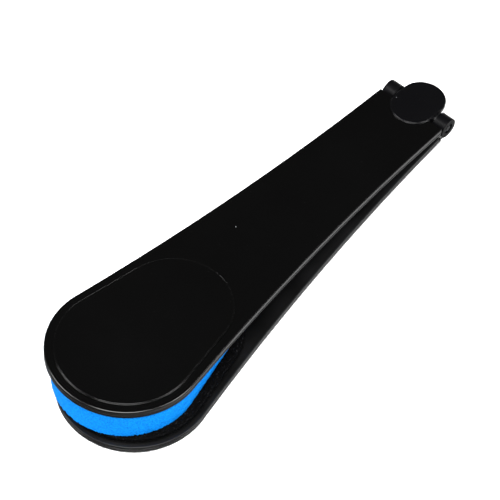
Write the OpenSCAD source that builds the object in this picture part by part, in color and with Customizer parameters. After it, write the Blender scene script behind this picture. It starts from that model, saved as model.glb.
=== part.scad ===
// Folding long-reach cleaning tool: two hinged paddle arms with a sponge between the heads.
// Millimetres, +Z up. Origin on the table under the middle of the folded tool.
// The hinge is towards +X, the round heads towards -X, and the pin lies along Y.

/* [Arms] */
// Width of the round heads
head_w = 82; // [70:1:100]
// Hinge pin to the centre of the heads
reach = 237; // [180:1:300]
// Width of each arm at its hinge end
end_w = 44; // [38:1:54]
// Thickness of one arm, shell and cover together
arm_t = 4.5; // [4:0.1:6]
// Radius of the hollow flanks between hinge end and head
flank_r = 1700; // [1200:50:2600]
// Plate thickness of shells and covers
skin = 1.4; // [1.2:0.1:2]
// Width of the wall round each shell
wall = 1.8; // [1.5:0.1:2.5]
// Chamfer round the outer faces
edge = 0.4; // [0.3:0.1:1]
// Open height of the parting line between shell and cover
parting = 0.3; // [0.2:0.1:0.5]

/* [Hinge] */
// Opening of the arms at rest, held by the sponge
splay = 4; // [3.5:0.5:8]
// Sideways lean of the lower arm at rest, from play in the hinge, in degrees
lean = 1.6; // [0:0.1:2]
// Gap between the inner faces at the hinge when the arms are parallel
face_gap = 1.2; // [0.8:0.1:2]
// Pin diameter
pin_d = 3; // [2:0.5:4]
// Width of the round-ended plate over the middle barrel
disc_d = 26; // [21:1:28]
// Length of that plate
disc_len = 34.6; // [30:0.1:40]
// How far the plate sticks out past the pin
disc_out = 16.2; // [14:0.1:20]
// Thickness of the plate
disc_t = 2.4; // [2:0.1:3]
// Length of each outer barrel
barrel_len = 7.6; // [5:0.1:9]
// Gap beside the middle barrel, holds a bush flange and a washer
side_gap = 1.2; // [1:0.1:2]

/* [Head] */
// How far panels and disc stand out of the outer faces
raise = 0.8; // [0.5:0.1:1.5]
// Flat rim left round the front of the head panels
panel_rim = 4.5; // [3:0.5:8]
// Length of the panels behind the centre of the head
panel_back = 67; // [50:1:90]
// Thickness of the sheets that hold the pad and the sponge
sheet_t = 0.8; // [0.5:0.1:1.2]
// Thickness of the pile pad
pad_t = 2.2; // [1:0.1:3]
// Flat rim left round the pile pad
pad_rim = 3; // [1:0.1:6]
// Flat rim left round the sponge
sponge_rim = 2.8; // [1:0.1:9]
// How far the sponge was pressed on off the middle, towards -Y
sponge_set = 2; // [0:0.1:2]

/* [Screws] */
// Thread diameter of the cover screws
screw_d = 2.2; // [2:0.1:3]
// Countersunk head diameter
screw_head_d = 4; // [3.5:0.1:5]

/* [Hidden] */
$fn = 96;
head_r = head_w / 2;
zi = face_gap / 2;                  // inner face above the pin line
zo = zi + arm_t;                    // outer face above the pin line
zc = zi + skin + 0.3;               // top of the cover rim
zs = zc + parting;                  // underside of the shell rim
zk = zo - skin;                     // underside of the shell skin
lip_top = zs + 0.64 * (zk - zs);    // the cover's lip reaches this far up inside the shell wall
barrel_r = zo + 0.1;                // middle barrel
ear_r = zo + raise;                 // outer barrels reach down to the table
end_back = ear_r + 1.4;             // arm ends stop short of the pin by this
mid_y = disc_d / 2;                 // half length of the middle barrel
ear_y = mid_y + side_gap;           // inner faces of the outer barrels
disc_r = disc_d / 2;
pocket_gap = 0.5;                   // round the plate in the lower arm
disc_z0 = zo + raise - disc_t;      // underside of the disc above the pin line
stop_gap = 0.05;                    // left under the disc when the tool is straight
bore_gap = 0.05;
seam = 0.02;                        // straight sides lie this far inside the arcs, so they cross cleanly
pin_r = pin_d / 2;
bush_r = pin_r + 1;
ring_r = pin_r + 1.6;
ring_t = 0.6;
ring_in = 0.9;                      // ring sits this far inside the barrel end
pin_z = zo + raise;
disc_reach = disc_out * cos(splay) + (zo + raise) * sin(splay);
pin_x = (reach * cos(lean) + head_r - disc_reach) / 2;
pin_y = reach * sin(lean) / 2;
sponge_gap = 0.35;
stud_x = disc_out - disc_len + 7;   // studs under the plate
stud_y = disc_r * 0.45;
solid_back = disc_len - disc_out + 4; // arms are solid from here to the hinge

// flank circle: touches the head circle from outside and passes through the arm end corner
ex = reach - end_back;
ey = end_w / 2;
ed = sqrt(ex * ex + ey * ey);
fc = head_r + flank_r - 0.06;       // centres closer than touching, so the arcs cross cleanly
fa = (fc * fc - flank_r * flank_r + ed * ed) / (2 * ed);
fh = sqrt(fc * fc - fa * fa);
cx = -reach + (fa * ex - fh * ey) / ed;
cy = (fa * ey + fh * ex) / ed;
tx = (cx + reach) / fc;
ty = cy / fc;

// panel shape: two circles joined by their tangents
p1 = head_r - panel_rim;
p2 = p1 * 0.84;
pd = panel_back - p2;

screw_x = [-(solid_back + 9), -reach * 0.42, -reach * 0.66];
screw_h = [-reach + head_r * 0.1, head_r * 0.62];

// lower arm frame: outer face down
module low() translate([pin_x, pin_y, pin_z]) rotate([180, 0, 0]) children();
// the lower arm's own plan, which leans against its hinge barrels
module leaning() rotate([0, 0, -lean]) children();
// upper arm frame: outer face up, opened by the splay
module up() translate([pin_x, pin_y, pin_z]) rotate([0, splay, 0]) children();
module rod(r, y0, y1) translate([0, y0, 0]) rotate([-90, 0, 0]) cylinder(r = r, h = y1 - y0);

// arm plan from z0 to z1, drawn in by d, chamfered by c0 below and c1 above
module slab(d, z0, z1, c0 = 0, c1 = 0) {
    translate([-reach, 0, z0 + c0]) cylinder(r = head_r - d, h = z1 - z0 - c0 - c1);
    if (c0 > 0) translate([-reach, 0, z0]) cylinder(r1 = head_r - d - c0, r2 = head_r - d, h = c0);
    if (c1 > 0) translate([-reach, 0, z1 - c1]) cylinder(r1 = head_r - d, r2 = head_r - d - c1, h = c1);
    difference() {
        translate([0, 0, z0]) linear_extrude(z1 - z0)
            polygon([[-reach, 0], [-reach + (head_r - d + 1) * tx, -(head_r - d + 1) * ty],
                     [-end_back - d, -ey - 2], [-end_back - d, ey + 2],
                     [-reach + (head_r - d + 1) * tx, (head_r - d + 1) * ty]]);
        for (s = [-1, 1]) translate([cx, s * cy, 0]) {
            translate([0, 0, z0 - 1]) cylinder(r = flank_r + d, h = z1 - z0 + 2, $fn = 1200);
            if (c1 > 0) translate([0, 0, z1 - c1])
                cylinder(r1 = flank_r + d, r2 = flank_r + d + c1 + 0.5, h = c1 + 0.5, $fn = 1200);
            if (c0 > 0) translate([0, 0, z0 - 0.5])
                cylinder(r1 = flank_r + d + c0 + 0.5, r2 = flank_r + d, h = c0 + 0.5, $fn = 1200);
        }
    }
}

// egg plan round the head: front circle a, back circle b, centres apart by c
module egg(a, b, c, z0, z1) {
    sn = (a - b) / c;
    cs = sqrt(1 - sn * sn);
    ai = a - seam;
    bi = b - seam;
    translate([-reach, 0, z0]) {
        cylinder(r = a, h = z1 - z0);
        translate([c, 0, 0]) cylinder(r = b, h = z1 - z0);
        linear_extrude(z1 - z0)
            polygon([[ai * sn, -ai * cs], [c + bi * sn, -bi * cs], [c + bi * sn, bi * cs], [ai * sn, ai * cs]]);
    }
}

// plate with round ends of radius r, from x0 to x1 across the pin
module tongue(r, x0, x1, z0, z1) translate([0, 0, z0]) {
    translate([x0 + r, 0, 0]) cylinder(r = r, h = z1 - z0);
    translate([x1 - r, 0, 0]) cylinder(r = r, h = z1 - z0);
    translate([x0 + r, -r, 0]) cube([x1 - x0 - 2 * r, 2 * r, z1 - z0]);
}

module at_screws() {
    for (x = screw_x) translate([x, 0, 0]) children();
    for (s = [-1, 1]) translate([screw_h[0], s * screw_h[1], 0]) children();
}

// shell in its own frame, without its hinge barrels
module shell_body() {
    difference() {
        slab(0, zs, zo, 0, edge);
        difference() {
            slab(wall, zs - 1, zk);
            translate([-solid_back, -50, zs - 2]) cube([solid_back, 100, arm_t + 4]);
            at_screws() translate([0, 0, zs - 1.5]) cylinder(r = screw_d / 2 + 1.4, h = arm_t);
            for (s = [-1, 1])
                translate([-reach + 10, s * 9 - 0.6, zc + 0.2]) cube([reach - solid_back - 20, 1.2, arm_t]);
        }
        at_screws() translate([0, 0, zs - 1.6]) cylinder(r = screw_d / 2 + 0.05, h = zk - zs + 2.1);
        egg(p1 + 0.1, p2 + 0.1, pd, zo - 0.5, zo + 1);
    }
}

module cover_body() {
    difference() {
        union() {
            slab(0, zi, zc, edge * 0.6, 0);
            intersection() {
                slab(wall + 0.15, zc - 0.4, lip_top);
                translate([-reach - 50, -50, 0]) cube([reach + 50 - solid_back - 0.2, 100, 20]);
            }
        }
        difference() {
            slab(wall + 1.2, zi + skin, zs + 3);
            translate([-solid_back - 1.2, -50, zi]) cube([solid_back + 2, 100, arm_t]);
        }
        at_screws() translate([0, 0, zi - 1]) cylinder(r = screw_d / 2 + 0.15, h = arm_t + 2);
        at_screws() translate([0, 0, zi - 0.01])
            cylinder(r1 = screw_head_d / 2 + 0.12, r2 = screw_d / 2 + 0.1,
                     h = (screw_head_d - screw_d) / 2 + 0.05);
        // open over the screw bosses
        at_screws() translate([0, 0, zi + skin + 0.05]) cylinder(r = screw_d / 2 + 1.6, h = arm_t);
    }
}

module screws_body() {
    at_screws() {
        difference() {
            translate([0, 0, zi + 0.1]) union() {
                cylinder(r1 = screw_head_d / 2, r2 = screw_d / 2, h = (screw_head_d - screw_d) / 2);
                cylinder(r = screw_d / 2, h = zk - zi + 0.2);
            }
            for (a = [0, 90]) rotate([0, 0, a]) translate([-1.1, -0.25, zi - 0.4]) cube([2.2, 0.5, 1.1]);
        }
    }
}

module panel_body() {
    egg(p1, p2, pd, zo - 0.48, zo + raise * 0.5);
    egg(p1 - 0.5, p2 - 0.5, pd, zo + raise * 0.5, zo + raise);
}

module lower_shell() color("#17181a") low() difference() {
    union() {
        leaning() shell_body();
        for (s = [-1, 1]) {
            rod(ear_r, s > 0 ? ear_y : -ear_y - barrel_len, s > 0 ? ear_y + barrel_len : -ear_y);
            // web from the barrel into the arm
            translate([-end_back - 1.5, s > 0 ? ear_y : -ear_y - barrel_len + 0.6, zi])
                cube([end_back + 1.5, barrel_len - 0.6, arm_t]);
        }
    }
    // notch for the middle barrel and pocket for the disc
    rod(barrel_r + 0.5, -ear_y, ear_y);
    tongue(disc_r + pocket_gap, -disc_out - pocket_gap, disc_r, disc_z0 - stop_gap, zo + 2);
    // pin bore and ring seats
    rod(pin_r, -ear_y - barrel_len - 1, ear_y + barrel_len + 1);
    for (s = [-1, 1]) {
        e = ear_y + barrel_len;
        rod(ring_r + 0.05, s > 0 ? e - ring_in - ring_t : -e - 1, s > 0 ? e + 1 : -e + ring_in + ring_t);
    }
}

module lower_cover() color("#1a1b1d") low() difference() {
    leaning() cover_body();
    rod(barrel_r + 0.5, -ear_y, ear_y);
    for (s = [-1, 1]) translate([-end_back - 1.7, s > 0 ? ear_y - 0.2 : -ear_y - barrel_len - 1, zi - 1])
        cube([end_back + 2, barrel_len + 1.2, arm_t]);
}

module lower_panel() color("#141517") low() leaning() panel_body();

module lower_screws() color("#8f9499") low() leaning() screws_body();

// egg that follows the head at a rim from its edge; taper is its back radius over its front radius
module head_egg(rim, z0, z1, taper = 0.83) egg(head_r - rim, (head_r - rim) * taper, pd + 1, z0, z1);

module pad_sheet() color("#202124") low() leaning() head_egg(pad_rim + 0.3, zi - sheet_t, zi - 0.01);

module pile_pad() color("#101113") low() leaning() head_egg(pad_rim, zi - sheet_t - pad_t, zi - sheet_t - 0.01);

module sponge_sheet() color("#202124") up() head_egg(sponge_rim + 2.4, zi - sheet_t, zi - 0.01, 0.78);

// squeezed between the heads: its underside lies along the pile pad
module sponge() color("#1c94ee") difference() {
    up() translate([0, -sponge_set, 0]) head_egg(sponge_rim, zi - sheet_t - 40, zi - sheet_t - 0.01, 0.78);
    low() translate([-reach - 100, -100, zi - sheet_t - pad_t - sponge_gap]) cube([reach + 200, 200, 80]);
}

module hinge_pin() color("#3a3b3e") translate([pin_x, pin_y, pin_z]) difference() {
    rod(pin_r, -ear_y - barrel_len + 0.3, ear_y + barrel_len - 0.3);
    // centre marks in the turned ends
    for (s = [-1, 1]) translate([0, s * (ear_y + barrel_len + 0.35), 0]) rod(0.5, -0.9, 0.9);
}

module ring(s) translate([pin_x, pin_y, pin_z]) difference() {
    e = ear_y + barrel_len - ring_in;
    rod(ring_r, s > 0 ? e - ring_t : -e, s > 0 ? e : -e + ring_t);
    rod(pin_r, -60, 60);
}
module pin_ring_left() color("#3e4147") ring(1);
module pin_ring_right() color("#3e4147") ring(-1);

module washer(y0, y1) translate([pin_x, pin_y, pin_z]) difference() {
    rod(pin_r + 2.4, y0, y1);
    rod(pin_r + 0.05, -60, 60);
}
module washer_left() color("#17181a") washer(ear_y - 0.55, ear_y - 0.05);
module spring_washer() color("#3e4147") washer(-ear_y + 0.05, -ear_y + 0.5);

module upper_shell() color("#17181a") up() difference() {
    union() {
        shell_body();
        rod(barrel_r, -mid_y, mid_y);
        // neck from the middle barrel into the arm
        translate([-end_back - 1.5, -mid_y, zi]) cube([end_back + 1.5, disc_d, arm_t]);
        translate([-solid_back, -mid_y, zi + 0.4]) cube([solid_back - end_back, disc_d, zs]);
    }
    // seat for the disc
    tongue(disc_r + 0.1, disc_out - disc_len - 0.1, disc_out + 0.1, disc_z0 - 0.01, zo + 2);
    for (s = [-1, 1]) translate([stud_x, s * stud_y, disc_z0 - 1.2]) cylinder(r = 1.25, h = 2);
    // bush seats
    rod(bush_r, -mid_y - 1, mid_y + 1);
}

module upper_cover() color("#1a1b1d") up() difference() {
    cover_body();
    translate([-solid_back - 0.2, -mid_y - 0.1, zi + 0.3]) cube([solid_back + 1, disc_d + 0.2, arm_t]);
    translate([-end_back - 1.7, -mid_y - 0.1, zi - 1]) cube([end_back + 2, disc_d + 0.2, arm_t]);
}

module upper_panel() color("#141517") up() panel_body();

module upper_screws() color("#8f9499") up() screws_body();

module hinge_disc() color("#1d1e20") up() {
    tongue(disc_r, disc_out - disc_len, disc_out, disc_z0, disc_z0 + disc_t - 0.4);
    tongue(disc_r - 0.5, disc_out - disc_len + 0.5, disc_out - 0.5, disc_z0, disc_z0 + disc_t);
    for (s = [-1, 1]) translate([stud_x, s * stud_y, disc_z0 - 1.1]) cylinder(r = 1.25, h = 1.3);
}

module bush(s) up() difference() {
    union() {
        rod(bush_r, s > 0 ? mid_y - 6 : -mid_y, s > 0 ? mid_y : -mid_y + 6);
        rod(bush_r + 1.3, s > 0 ? mid_y : -mid_y - 0.5, s > 0 ? mid_y + 0.5 : -mid_y);
    }
    rod(pin_r + bore_gap, -60, 60);
}
module bush_left() color("#17181a") bush(1);
module bush_right() color("#17181a") bush(-1);

lower_shell();
lower_cover();
lower_panel();
lower_screws();
pad_sheet();
pile_pad();
hinge_pin();
pin_ring_left();
pin_ring_right();
washer_left();
spring_washer();
upper_shell();
upper_cover();
upper_panel();
upper_screws();
sponge_sheet();
sponge();
hinge_disc();
bush_left();
bush_right();
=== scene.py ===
"""Looks of the folding cleaning tool: two black moulded arms hinged at one end,
a blue sponge under the upper head and a black pile pad on the lower one."""
import math
import random

import bmesh
import bpy
from mathutils import Matrix, Vector, noise


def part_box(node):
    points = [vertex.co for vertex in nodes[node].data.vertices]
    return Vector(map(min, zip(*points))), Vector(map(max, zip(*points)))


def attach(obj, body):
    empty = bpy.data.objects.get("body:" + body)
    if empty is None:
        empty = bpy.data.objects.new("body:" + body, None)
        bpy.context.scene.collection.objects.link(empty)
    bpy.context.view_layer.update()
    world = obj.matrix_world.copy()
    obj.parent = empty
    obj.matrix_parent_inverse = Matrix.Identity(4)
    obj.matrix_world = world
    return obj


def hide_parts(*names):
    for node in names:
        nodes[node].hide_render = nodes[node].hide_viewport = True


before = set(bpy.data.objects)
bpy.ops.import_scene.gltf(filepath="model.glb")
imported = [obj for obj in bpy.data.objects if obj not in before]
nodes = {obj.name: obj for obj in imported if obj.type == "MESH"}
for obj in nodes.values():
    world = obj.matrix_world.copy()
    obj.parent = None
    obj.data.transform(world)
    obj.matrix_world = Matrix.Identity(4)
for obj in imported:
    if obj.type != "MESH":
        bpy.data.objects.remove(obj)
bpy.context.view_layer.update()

# ---------------------------------------------------------------------------
# Lower arm shell. A long ribbed lid, injection-moulded in black ABS with
# polished steel on the outside, with the two outer hinge barrels in one piece
# with it. The barrels are left as spark-eroded, so they are greyer and matt.
EDGE_ROUND = 0.0002       # radius of an outer corner, chosen
PEEL = 0.0011             # orange peel, crest to crest, chosen
PEEL_HEIGHT = 0.00002
HAZE = 0.0417             # patches of slightly different gloss, chosen
DUST = 0.0161             # cells that may each hold one speck of dust, chosen
WELD = 2e-6               # corners of neighbouring faces closer than this are one
FLAT_ANGLE = 0.15         # degrees between faces that are really one face
CORNER_ANGLE = 25         # degrees from which an edge is a corner that gets rounded
CREASE_ANGLE = 32         # degrees from which the shading breaks


def linear(code):
    """sRGB hex to the linear colour that the shaders work in."""
    parts = [int(code[i:i + 2], 16) / 255 for i in (1, 3, 5)]
    return tuple(p / 12.92 if p <= 0.04045 else ((p + 0.055) / 1.055) ** 2.4 for p in parts) + (1,)


def add(tree, kind, links=(), **settings):
    """One node with its settings; each link is (own input, other node, its output)."""
    made = tree.nodes.new(kind)
    for name, value in settings.items():
        if hasattr(made, name):
            setattr(made, name, value)
        else:
            made.inputs[name.replace("_", " ")].default_value = value
    for own, other, out in links:
        tree.links.new(other.outputs[out], made.inputs[own])
    return made


def begin(name, **sockets):
    """A new material: its tree, its shader with the given sockets, and its place in object space."""
    material = bpy.data.materials.new(name)
    material.use_nodes = True
    tree = material.node_tree
    tree.nodes.clear()
    shader = add(tree, "ShaderNodeBsdfPrincipled", **sockets)
    add(tree, "ShaderNodeOutputMaterial", [("Surface", shader, "BSDF")])
    where = tree.nodes.new("ShaderNodeTexCoord")
    return material, tree, shader, where


def shade(tree, source, out, stops, shader, socket):
    """A ramp from a pattern to one of the shader's sockets."""
    ramp = add(tree, "ShaderNodeValToRGB", [("Fac", source, out)])
    while len(ramp.color_ramp.elements) < len(stops):
        ramp.color_ramp.elements.new(0.5)
    for element, (at, value) in zip(ramp.color_ramp.elements, stops):
        element.position = at
        element.color = value if isinstance(value, tuple) else (value, value, value, 1)
    if shader:
        tree.links.new(ramp.outputs["Color"], shader.inputs[socket])
    return ramp


def bump(tree, shader, source, out, height, strength):
    """Relief from a pattern on the shader's normal; height is its depth in metres."""
    made = add(tree, "ShaderNodeBump", [("Height", source, out)], Strength=strength, Distance=height)
    tree.links.new(made.outputs["Normal"], shader.inputs["Normal"])


def polished_abs(name, colour, rough_low, rough_high, peel_strength):
    """Glossy black ABS: deep black with clear reflections, softened by faint orange peel,
    patches of slightly duller gloss and a few specks of dust."""
    material, tree, shader, where = begin(name, IOR=1.5)
    peel = add(tree, "ShaderNodeTexNoise", [("Vector", where, "Object")], Scale=1 / PEEL, Detail=2.0)
    haze = add(tree, "ShaderNodeTexNoise", [("Vector", where, "Object")], Scale=1 / HAZE, Detail=5.0)
    dust = add(tree, "ShaderNodeTexVoronoi", [("Vector", where, "Object")], Scale=1 / DUST)
    speck = shade(tree, dust, "Distance", [(0.012, 1.0), (0.02, 0.0)], None, None)
    pick = shade(tree, dust, "Color", [(0.62, 0.0), (0.66, 1.0)], None, None)
    both = add(tree, "ShaderNodeMath", [(0, speck, "Color"), (1, pick, "Color")], operation="MULTIPLY")
    shade(tree, both, "Value", [(0.0, linear(colour)), (1.0, linear("#6f7072"))], shader, "Base Color")
    shade(tree, haze, "Fac", [(0.35, rough_low), (0.68, rough_high)], shader, "Roughness")
    bump(tree, shader, peel, "Fac", PEEL_HEIGHT, peel_strength)
    return material


abs_polished = polished_abs("polished_black_abs", "#040404", 0.13, 0.18, 0.08)


def moulded(node, name, body, skin, rounding=EDGE_ROUND):
    """The CAD node's faces again, welded into whole faces and rounded along their outer corners."""
    piece = bpy.data.objects.new(name, bpy.data.meshes.new(name))
    bpy.context.collection.objects.link(piece)
    work = bmesh.new()
    work.from_mesh(nodes[node].data)
    bmesh.ops.remove_doubles(work, verts=work.verts, dist=WELD)
    bmesh.ops.dissolve_limit(work, angle_limit=math.radians(FLAT_ANGLE),
                             verts=work.verts, edges=work.edges)
    corners = [e for e in work.edges if len(e.link_faces) == 2 and e.is_convex
               and e.calc_face_angle(0) > math.radians(CORNER_ANGLE)]
    bmesh.ops.bevel(work, geom=corners, offset=rounding, segments=3, profile=0.5,
                    affect="EDGES", clamp_overlap=False)
    work.to_mesh(piece.data)
    work.free()
    piece.data.materials.clear()
    piece.data.materials.append(skin)
    for face in piece.data.polygons:
        face.use_smooth = True
        face.material_index = 0
    piece.data.set_sharp_from_angle(angle=math.radians(CREASE_ANGLE))
    even = piece.modifiers.new("even_shading", "WEIGHTED_NORMAL")
    even.keep_sharp = True
    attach(piece, body)
    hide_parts(node)
    return piece


lower_shell = moulded("lower_shell", "lower_arm_shell", "lower_arm", abs_polished)

# The barrels' spark-eroded finish.
ERODED_GRAIN = 0.00035    # taken as about 0.05 mm in life, drawn coarser so that it shows
ERODED_DEPTH = 0.00006    # drawn deeper along with it
BLOTCH = 0.0111           # slow change of tone along a barrel, chosen
LOWER_BARREL_REACH = 0.0061   # just over the outer barrels' radius


def eroded_abs(name, colour):
    """Spark-eroded black ABS: a fine even grain that scatters the light, so no clear reflections.
    The specular level is far below what ABS has, to match how dark the barrels look."""
    material, tree, shader, where = begin(name, IOR=1.5, Specular_IOR_Level=0.05)
    grain = add(tree, "ShaderNodeTexNoise", [("Vector", where, "Object")],
                Scale=1 / ERODED_GRAIN, Detail=2.0)
    blotch = add(tree, "ShaderNodeTexNoise", [("Vector", where, "Object")], Scale=1 / BLOTCH, Detail=3.0)
    shade(tree, blotch, "Fac", [(0.3, linear(colour)), (0.7, linear("#070708"))], shader, "Base Color")
    shade(tree, grain, "Fac", [(0.3, 0.32), (0.7, 0.44)], shader, "Roughness")
    bump(tree, shader, grain, "Fac", ERODED_DEPTH, 0.5)
    return material


abs_eroded = eroded_abs("eroded_black_abs", "#040405")


def give_barrels(piece, skin, pivot, reach):
    """The faces within reach of the hinge pin take the barrels' finish."""
    piece.data.materials.append(skin)
    for face in piece.data.polygons:
        away = Vector((face.center.x - pivot.x, face.center.z - pivot.z)).length
        if away < reach:
            face.material_index = 1


pin_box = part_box("hinge_pin")
pivot = (Vector(pin_box[0]) + Vector(pin_box[1])) / 2
give_barrels(lower_shell, abs_eroded, pivot, LOWER_BARREL_REACH)

# ---------------------------------------------------------------------------
# Lower arm cover. The flat inner half of the arm, moulded in the same ABS but
# from a satin tool, screwed to the shell's bosses so that a thin parting line
# runs round the arm.
SATIN_GRAIN = 0.000625    # taken as about 0.1 mm in life, drawn coarser so that it shows
SATIN_DEPTH = 0.00003
RUBBED = 0.0286           # patches of slightly different gloss, chosen
INNER_ROUND = 0.00015     # corners of covers, panels and the hinge plate


def satin_abs(name, colour):
    """Satin black ABS: soft, wide reflections without a mirror image, slightly uneven in gloss.
    The specular level is half of what ABS has, to match how dark the inner faces look."""
    material, tree, shader, where = begin(name, IOR=1.5, Specular_IOR_Level=0.25)
    grain = add(tree, "ShaderNodeTexNoise", [("Vector", where, "Object")], Scale=1 / SATIN_GRAIN, Detail=3.0)
    rub = add(tree, "ShaderNodeTexNoise", [("Vector", where, "Object")], Scale=1 / RUBBED, Detail=4.0)
    shade(tree, rub, "Fac", [(0.3, linear(colour)), (0.75, linear("#070708"))], shader, "Base Color")
    shade(tree, rub, "Fac", [(0.35, 0.30), (0.7, 0.40)], shader, "Roughness")
    bump(tree, shader, grain, "Fac", SATIN_DEPTH, 0.25)
    return material


abs_satin = satin_abs("satin_black_abs", "#040404")
lower_cover = moulded("lower_cover", "lower_arm_cover", "lower_arm", abs_satin, INNER_ROUND)

# ---------------------------------------------------------------------------
# Cover screws of both arms. Countersunk self-tapping screws with a cross
# recess, cold-headed in steel and bright zinc plated, driven from the inside.
SPANGLE = 0.00111         # patches of the plating, chosen


def zinc_plate(name):
    """Bright zinc plate on steel: silvery, with small patches of different gloss."""
    material, tree, shader, where = begin(name, Metallic=1.0)
    spangle = add(tree, "ShaderNodeTexNoise", [("Vector", where, "Object")], Scale=1 / SPANGLE, Detail=3.0)
    shade(tree, spangle, "Fac", [(0.3, linear("#a9adb0")), (0.7, linear("#cfd2d4"))], shader, "Base Color")
    shade(tree, spangle, "Fac", [(0.3, 0.22), (0.7, 0.36)], shader, "Roughness")
    return material


zinc = zinc_plate("bright_zinc_plate")


def carried(name, skin):
    """A CAD node that stays as it is takes the finish."""
    mesh = nodes[name].data
    mesh.materials.clear()
    mesh.materials.append(skin)
    for face in mesh.polygons:
        face.material_index = 0


carried("lower_screws", zinc)
carried("upper_screws", zinc)

# ---------------------------------------------------------------------------
# Head panels. Low egg-shaped covers snapped into a recess of each head, of
# the same polished ABS, with a small step round the edge that catches light.
lower_panel = moulded("lower_panel", "lower_head_panel", "lower_arm", abs_polished, INNER_ROUND)

# ---------------------------------------------------------------------------
# Fastening sheets. Thin black hook fabric glued to the inner faces of the
# heads; the pile pad and the sponge press onto it.
HOOK_PITCH = 0.0012       # rows of hooks
HOOK_DEPTH = 0.0004


def hook_fabric(name):
    """Nylon hook fabric: matt black, dotted with painted highlights on the tops of the hooks and painted
    shade between them.
    """
    material, tree, shader, where = begin(name, Roughness=0.75)
    rows = add(tree, "ShaderNodeTexVoronoi", [("Vector", where, "Object")], Scale=1 / HOOK_PITCH)
    # lighter near each hook and darker between: painted highlight on the hook tops, painted shade in the gaps
    shade(tree, rows, "Distance", [(0.1, linear("#2b2b2d")), (0.5, linear("#0c0c0d"))],
          shader, "Base Color")
    bump(tree, shader, rows, "Distance", HOOK_DEPTH, 0.8)
    return material


hooks = hook_fabric("nylon_hook_fabric")
carried("pad_sheet", hooks)
carried("sponge_sheet", hooks)

# ---------------------------------------------------------------------------
# Pile pad. Black polyester pile on a knitted backing, die-cut to the egg shape
# of the head. The sponge has pressed its middle flat; the cut edge stays fuzzy.
TUFT = 0.0014             # length of the tufts along the cut edge
TUFT_ROOT = 0.00015       # radius of a tuft at its root
TUFT_LEAN = 0.0009        # how far the tip of a pressed tuft lies from its root
TUFT_SINK = 0.0002        # how deep a tuft starts inside the pad
TUFT_CLEAR = 0.0004       # no tufts lower than this above the backing
TUFT_GLINT_AND_SHADE_SIZE = 0.000909     # one tuft and the gap beside it, in tone, chosen; its lighter spots are painted glints and its darker gaps painted shade
TUFT_RELIEF = 0.0003
FINE_LUMPS, WIDE_LUMPS = 900, 350   # lumps of the pile in a metre, small and wide
FINE_LUMP, WIDE_LUMP = 0.00012, 0.0001   # and their heights
BARE_FROM = 0.93          # share of the front radius from which the sponge hasn't pressed the pile
PILE_SIDES, PILE_ROWS, PILE_RINGS = 400, 4, 40
PRESSED = 0.0003          # how far the pressed tufts rise above the pad
STANDING = 0.0014         # and the free ones round its rim
PAD_TAPER = 0.83          # back radius of the die over its front radius
CORNER = 0.5              # marks the rows where a face of a pad meets its cut side
LEAN = math.radians(1.6)  # the lower arm leans sideways in its hinge
rng = random.Random(7)


def egg_outline(front, back, apart, count):
    """Points and outward directions round the die: a wide front arc, a narrower back arc, two sides.
    t runs from 0 on the front arc to 1 on the back arc."""
    turn = math.acos((front - back) / apart)
    side = apart * math.sin(turn)
    front_arc, back_arc = front * 2 * (math.pi - turn), back * 2 * turn
    total = front_arc + back_arc + 2 * side
    points = []
    for i in range(count):
        s = total * i / count
        if s < front_arc:
            a, t = turn + s / front, 0
        elif s < front_arc + side:
            a, t = -turn, (s - front_arc) / side
        elif s < front_arc + side + back_arc:
            a, t = -turn + (s - front_arc - side) / back, 1
        else:
            a, t = turn, 1 - (s - front_arc - side - back_arc) / side
        radius = front + (back - front) * t
        points.append((apart * t + radius * math.cos(a), radius * math.sin(a), math.cos(a), math.sin(a)))
    return points


def die_cut(name, outline, middle, rows, rings, place):
    """A closed pad: side rows from bottom to top, and rings on both faces that close in on its middle.
    place gives a point of the pad for a plan position, an outward direction, a height share and a face."""
    mesh = bmesh.new()
    count = len(outline)
    stack = []
    for face, shares in ((-1, [k / rings for k in range(1, rings)]),
                         (0, [1.0] * (rows + 1)),
                         (1, [k / rings for k in range(rings - 1, 0, -1)])):
        for k, share in enumerate(shares):
            height = k / rows if face == 0 else (0.0 if face < 0 else 1.0)
            edge = face if face else (-CORNER if k == 0 else CORNER if k == rows else 0)
            ring = [place(middle + (x - middle) * share, y * share, nx, ny, height, edge)
                    for x, y, nx, ny in outline]
            stack.append([mesh.verts.new(point) for point in ring])
    for lower, upper in zip(stack, stack[1:]):
        for i in range(count):
            n = (i + 1) % count
            mesh.faces.new((lower[i], lower[n], upper[n], upper[i]))
    for ring, height in ((stack[0], 0.0), (stack[-1], 1.0)):
        hub = mesh.verts.new(place(middle, 0.0, 0.0, 0.0, height, 1 if height else -1))
        for i in range(count):
            n = (i + 1) % count
            mesh.faces.new((ring[n], ring[i], hub) if height == 0 else (ring[i], ring[n], hub))
    bmesh.ops.recalc_face_normals(mesh, faces=mesh.faces)
    piece = bpy.data.objects.new(name, bpy.data.meshes.new(name))
    bpy.context.collection.objects.link(piece)
    mesh.to_mesh(piece.data)
    mesh.free()
    for face in piece.data.polygons:
        face.use_smooth = True
    return piece


def pile_cloth(name):
    """Matt black fibre that swallows light; a few lighter spots in its colour are painted glints of fibre
    ends, and the darkest are painted shade between tufts.
    The specular level is far below what the fibre has, to match how dark the pad looks."""
    material, tree, shader, where = begin(name, Roughness=0.9, Specular_IOR_Level=0.04)
    tuft = add(tree, "ShaderNodeTexNoise", [("Vector", where, "Object")], Scale=1 / TUFT_GLINT_AND_SHADE_SIZE, Detail=3.0)
    # the lightest stop paints glints on fibre ends, the darkest paints shade between the tufts
    shade(tree, tuft, "Fac",
          [(0.4, linear("#020202")), (0.62, linear("#070708")), (0.72, linear("#303032"))],
          shader, "Base Color")
    bump(tree, shader, tuft, "Fac", TUFT_RELIEF, 0.7)
    return material


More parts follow.
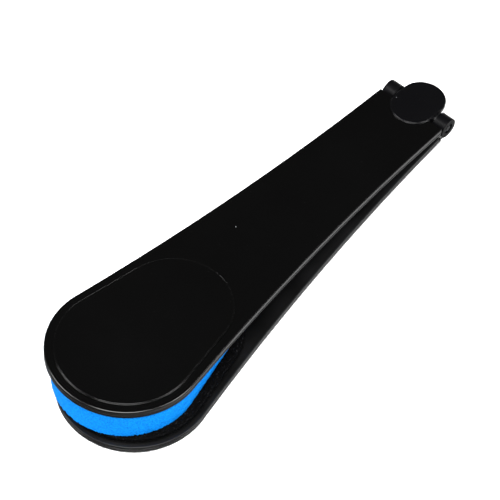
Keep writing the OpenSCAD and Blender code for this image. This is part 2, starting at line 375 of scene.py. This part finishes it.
pile = pile_cloth("black_polyester_pile")
pile_low, pile_high = (Vector(v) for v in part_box("pile_pad"))
pile_front = (pile_high.y - pile_low.y) / 2
pile_head = Vector((pile_low.x + pile_front, (pile_low.y + pile_high.y) / 2))
pile_apart = (pile_high.x - pile_head.x - pile_front * PAD_TAPER) / math.cos(LEAN)
pile_outline = egg_outline(pile_front, pile_front * PAD_TAPER, pile_apart, PILE_SIDES)


def pile_point(x, y, nx, ny, height, face):
    """A point of the lumpy pad, turned with the leaning arm."""
    turn = Matrix.Rotation(LEAN, 2)
    plan = pile_head + turn @ Vector((x, y))
    at = Vector((plan.x, plan.y, pile_low.z + (pile_high.z - pile_low.z) * height))
    lump = noise.noise(at * FINE_LUMPS) * FINE_LUMP + noise.noise(at * WIDE_LUMPS) * WIDE_LUMP - WIDE_LUMP
    out = turn @ Vector((nx, ny))
    return at + Vector((out.x, out.y, 0)) * lump if face == 0 else at + Vector((0, 0, face * lump))


pile_pad = die_cut("pile_cleaning_pad", pile_outline, pile_apart / 2, PILE_ROWS, PILE_RINGS, pile_point)
fibres = bmesh.new()
fibres.from_mesh(pile_pad.data)
fibres.normal_update()
seats = [(v.co.copy(), v.normal.copy()) for v in fibres.verts if v.co.z > pile_low.z + TUFT_CLEAR]
for root, normal in seats:
    on_top = normal.z > 0.8
    bare = (root.xy - pile_head).length > pile_front * BARE_FROM
    if on_top and not bare and rng.random() > 0.5:
        continue
    tufts = 4 if not on_top else 3 if bare else 1
    for _ in range(tufts):
        sway = Vector((rng.uniform(-1, 1), rng.uniform(-1, 1), rng.uniform(-1, 1)))
        if on_top:
            tip = root + Vector((sway.x, sway.y, 0)) * TUFT_LEAN
            tip.z = pile_high.z + (STANDING if bare else PRESSED) * rng.uniform(0.0, 0.9)
        else:
            tip = root + (normal + sway * 0.55).normalized() * TUFT * rng.uniform(0.5, 1.0)
            tip.z = min(max(tip.z, pile_low.z), pile_high.z + PRESSED * 0.9)
        along = (tip - root).normalized()
        across = along.cross(Vector((0.3, 0.2, 1))).normalized() * TUFT_ROOT
        other = along.cross(across)
        foot = [root - along * TUFT_SINK + across * math.cos(a) + other * math.sin(a)
                for a in (0, 2.09, 4.19)]   # a tuft is three-sided
        corners = [fibres.verts.new(p) for p in foot] + [fibres.verts.new(tip)]
        for a, b, c in ((0, 1, 3), (1, 2, 3), (2, 0, 3), (2, 1, 0)):
            fibres.faces.new((corners[a], corners[b], corners[c]))
fibres.to_mesh(pile_pad.data)
fibres.free()
pile_pad.data.materials.append(pile)
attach(pile_pad, "lower_arm")
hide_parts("pile_pad")

# ---------------------------------------------------------------------------
# Hinge pin and its rings. A turned steel pin, blackened in hot oxide salts, held
# in the outer barrels by a pressed ring at each end; its ends keep their centre marks.
TOOL_MARKS = 0.000667     # turning marks, taken as about 0.1 mm apart, drawn coarser to show
MARK_DEPTH = 0.00002


def oxide_steel(name, light, dark):
    """Blackened steel: a dark metal sheen, broken up by faint tool marks."""
    material, tree, shader, where = begin(name, Metallic=1.0)
    lines = add(tree, "ShaderNodeTexNoise", [("Vector", where, "Object")], Scale=1 / TOOL_MARKS, Detail=2.0)
    shade(tree, lines, "Fac", [(0.3, linear(dark)), (0.7, linear(light))], shader, "Base Color")
    shade(tree, lines, "Fac", [(0.3, 0.25), (0.7, 0.38)], shader, "Roughness")
    bump(tree, shader, lines, "Fac", MARK_DEPTH, 0.3)
    return material


steel = oxide_steel("black_oxide_steel", "#3a3b3e", "#1e1f21")
spring_steel = oxide_steel("blued_spring_steel", "#3e4147", "#26282d")
carried("hinge_pin", steel)
carried("pin_ring_left", spring_steel)
carried("pin_ring_right", spring_steel)
carried("spring_washer", spring_steel)

# ---------------------------------------------------------------------------
# Washer and bushes. Turned from black acetal rod; the bushes are pressed into the
# middle barrel, and the washer lies loose between it and the left outer barrel.
TURNING = 0.00143         # uneven tone left by turning, chosen
TURNING_DEPTH = 0.00003


def black_acetal(name):
    """Black acetal: dense, waxy and satin, slightly uneven in tone."""
    material, tree, shader, where = begin(name, Roughness=0.35, IOR=1.48)
    turned = add(tree, "ShaderNodeTexNoise", [("Vector", where, "Object")], Scale=1 / TURNING, Detail=2.0)
    shade(tree, turned, "Fac", [(0.3, linear("#0c0c0d")), (0.7, linear("#171718"))], shader, "Base Color")
    bump(tree, shader, turned, "Fac", TURNING_DEPTH, 0.2)
    return material


acetal = black_acetal("black_acetal")
for node in ("washer_left", "bush_left", "bush_right"):
    carried(node, acetal)

# ---------------------------------------------------------------------------
# Upper arm. Shell, cover and head panel, moulded in the same ABS as the lower ones
# and held by the same screws. The middle hinge barrel is part of the shell.
UPPER_BARREL_REACH = 0.0054   # just over the middle barrel's radius
upper_shell = moulded("upper_shell", "upper_arm_shell", "upper_arm", abs_polished)
give_barrels(upper_shell, abs_eroded, pivot, UPPER_BARREL_REACH)
upper_cover = moulded("upper_cover", "upper_arm_cover", "upper_arm", abs_satin, INNER_ROUND)
upper_panel = moulded("upper_panel", "upper_head_panel", "upper_arm", abs_polished, INNER_ROUND)

# ---------------------------------------------------------------------------
# Hinge plate. A round-ended plate pressed over the middle barrel on two studs.
# Its face is polished like the arm, a little duller.
abs_handled = polished_abs("handled_black_abs", "#050506", 0.17, 0.23, 0.15)
hinge_plate = moulded("hinge_disc", "hinge_plate", "upper_arm", abs_handled, INNER_ROUND)

# ---------------------------------------------------------------------------
# Sponge. Die-cut open-cell polyurethane foam, dyed bright blue. Squeezed between
# the heads it is a wedge whose sides bulge a little, and its cut lower edge is ragged.
SPLAY = math.radians(4)   # how far the arms stand open
FOAM_TOP = -0.00021       # the foam's upper face, from the hinge line, seen along the upper arm
CELL = 0.0010             # foam cells, taken as about 0.5 mm in life, drawn coarser to show
PIT = 0.0004              # depth of a cut cell
PIT_REACH = 0.6           # share of a cell that is sunk
CLOUD = 0.00111           # uneven tone over the cells, chosen
CELL_RELIEF = 0.0005
BULGE = 0.0001            # how far the squeezed sides swell
FOAM_TAPER = 0.78         # back radius of the foam die over its front radius
RAG = 0.0018              # how far the torn lower edge is lifted
RAG_PITCH = 0.001         # from one tear to the next
FOAM_SIDES, FOAM_ROWS, FOAM_RINGS = 460, 24, 40


def open_cell_foam(name):
    """Bright blue open-cell foam: matt and even in colour, with painted shade that makes the cut cells darker
    inside.
    The specular level is far below what the foam has, to match how matt the sponge looks."""
    material, tree, shader, where = begin(name, Roughness=0.95, Specular_IOR_Level=0.04)
    cells = add(tree, "ShaderNodeTexVoronoi", [("Vector", where, "Object")], Scale=1 / CELL)
    cloud = add(tree, "ShaderNodeTexNoise", [("Vector", where, "Object")], Scale=1 / CLOUD, Detail=3.0)
    mixed = add(tree, "ShaderNodeMath", [(0, cells, "Distance"), (1, cloud, "Fac")], operation="MULTIPLY")
    # darker blue towards the middle of each cell is painted shade in the cut cells; the cloud adds uneven
    # tone
    shade(tree, mixed, "Value",
          [(0.02, linear("#024487")), (0.12, linear("#0463b4")), (0.35, linear("#0673c5"))],
          shader, "Base Color")
    bump(tree, shader, mixed, "Value", CELL_RELIEF, 0.9)
    return material


foam = open_cell_foam("blue_polyurethane_foam")
foam_low, foam_high = (Vector(v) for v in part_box("sponge"))
foam_front = (foam_high.y - foam_low.y) / 2
foam_middle = (foam_high.y + foam_low.y) / 2
foam_start = (foam_low.x - pivot.x - FOAM_TOP * math.sin(SPLAY)) / math.cos(SPLAY) + foam_front
foam_end = (foam_high.x - pivot.x - FOAM_TOP * math.sin(SPLAY)) / math.cos(SPLAY)
foam_apart = foam_end - foam_start - foam_front * FOAM_TAPER
foam_outline = egg_outline(foam_front, foam_front * FOAM_TAPER, foam_apart, FOAM_SIDES)


def height_of_rag(x, y):
    """The torn lower edge: how far a point of the cut edge is lifted."""
    return max(0.0, noise.noise(Vector((x, y, 0.3)) / RAG_PITCH) + 0.25) * RAG


def foam_point(x, y, nx, ny, height, face):
    """Upper face on the arm's line, lower face level, sides square to the arm and swollen between."""
    along = foam_start + x
    top = pivot.z - along * math.sin(SPLAY) + FOAM_TOP * math.cos(SPLAY)
    z = foam_low.z + (top - foam_low.z) * height
    drop = (z - top) / math.cos(SPLAY)
    at = Vector((pivot.x + along * math.cos(SPLAY) + (FOAM_TOP + drop) * math.sin(SPLAY), foam_middle + y, z))
    pit = max(0.0, PIT_REACH - noise.voronoi(at / CELL)[0][0]) / PIT_REACH * PIT
    if face == 0:
        swell = BULGE * math.sin(math.pi * min(height * 1.1, 1.0))
        return at + Vector((nx, ny, 0)) * (swell - pit)
    if face == -CORNER:
        return at + Vector((0, 0, height_of_rag(x, y)))
    return at - Vector((0, 0, face * pit * 0.5))


sponge = die_cut("blue_sponge", foam_outline, foam_apart / 2, FOAM_ROWS, FOAM_RINGS, foam_point)
sponge.data.materials.append(foam)
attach(sponge, "upper_arm")
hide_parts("sponge")

# ---------------------------------------------------------------------------
# Studio. A white paper floor, soft boxes on the near side, and a room that is
# grey at the horizon and dark overhead, so that the flat faces stay black.
FLOOR = 6.0               # half the sheet's width
FIBRE = 0.025             # clouds in the paper, chosen
DIM_FROM, DIM_TO = -0.17, -0.04   # where along X the painted shade on the paper seen in the gloss goes from dark to light
floor_mesh = bpy.data.meshes.new("floor")
floor_mesh.from_pydata([(-FLOOR, -FLOOR, 0), (FLOOR, -FLOOR, 0), (FLOOR, FLOOR, 0), (-FLOOR, FLOOR, 0)],
                       [], [(0, 1, 2, 3)])
floor = bpy.data.objects.new("floor", floor_mesh)
bpy.context.collection.objects.link(floor)
paper, paper_tree, paper_shader, paper_where = begin("white_paper", Roughness=0.95)
paper_shader.inputs["Specular IOR Level"].default_value = 0.0
fibre = add(paper_tree, "ShaderNodeTexNoise", [("Vector", paper_where, "Object")],
            Scale=1 / FIBRE, Detail=4.0)
shade(paper_tree, fibre, "Fac", [(0.3, linear("#f2f2f2")), (0.7, linear("#f6f6f6"))],
      paper_shader, "Base Color")
# Seen in the tool's gloss the paper is painted dimmer than seen directly, darkest under the heads: painted
# shade in the tool's reflections.
spot = add(paper_tree, "ShaderNodeSeparateXYZ", [("Vector", paper_where, "Object")])
along = add(paper_tree, "ShaderNodeMapRange", [("Value", spot, "X")], From_Min=DIM_FROM, From_Max=DIM_TO)
dim = add(paper_tree, "ShaderNodeBsdfDiffuse")
shade(paper_tree, along, "Result", [(0.0, linear("#3c3c3c")), (1.0, linear("#a0a0a0"))], dim, "Color")
path = paper_tree.nodes.new("ShaderNodeLightPath")
either = add(paper_tree, "ShaderNodeMixShader",
             [(0, path, "Is Glossy Ray"), (1, paper_shader, "BSDF"), (2, dim, "BSDF")])
paper_out = next(n for n in paper_tree.nodes if n.type == "OUTPUT_MATERIAL")
paper_tree.links.new(either.outputs["Shader"], paper_out.inputs["Surface"])
floor.data.materials.append(paper)

world = bpy.data.worlds.new("room")
bpy.context.scene.world = world
world.use_nodes = True
room = world.node_tree
room.nodes.clear()
room_where = room.nodes.new("ShaderNodeTexCoord")
height = add(room, "ShaderNodeSeparateXYZ", [("Vector", room_where, "Generated")])
tone = shade(room, height, "Z", [(0.0, 0.42), (0.25, 0.25), (0.6, 0.012)], None, None)
glow = add(room, "ShaderNodeBackground", [("Color", tone, "Color")], Strength=1.0)
add(room, "ShaderNodeOutputWorld", [("Surface", glow, "Background")])


def soft_box(name, azimuth, elevation, distance, size, watts):
    """A square soft lamp facing the tool; azimuth runs anticlockwise from +X."""
    lamp = bpy.data.lights.new(name, "AREA")
    lamp.shape, lamp.size, lamp.energy = "SQUARE", size, watts
    box = bpy.data.objects.new(name, lamp)
    bpy.context.collection.objects.link(box)
    a, e = math.radians(azimuth), math.radians(elevation)
    box.location = Vector((math.cos(a) * math.cos(e), math.sin(a) * math.cos(e), math.sin(e))) * distance
    box.rotation_euler = (-box.location).to_track_quat("-Z", "Y").to_euler()


soft_box("soft_box_front", 215, 68, 1.6, 1.1, 52)
soft_box("soft_box_left", 130, 48, 1.6, 0.8, 26)
soft_box("soft_box_right", 300, 50, 1.6, 0.8, 26)

# The camera looks down along the arms from the head end.
aim = Vector((-0.0114, 0.0030, 0.015))
azimuth, elevation, distance, roll = math.radians(219.96), math.radians(53.36), 1.1546, math.radians(1.91)
camera = bpy.data.objects.new("camera", bpy.data.cameras.new("camera"))
bpy.context.collection.objects.link(camera)
camera.data.lens = 158.4
camera.data.clip_end = 20
back = Vector((math.cos(azimuth) * math.cos(elevation), math.sin(azimuth) * math.cos(elevation),
               math.sin(elevation)))
camera.location = aim + back * distance
camera.rotation_mode = "QUATERNION"
camera.rotation_quaternion = (-back).to_track_quat("-Z", "Y") @ Matrix.Rotation(roll, 4, "Z").to_quaternion()
bpy.context.scene.camera = camera
bpy.context.scene.view_settings.view_transform = "Standard"
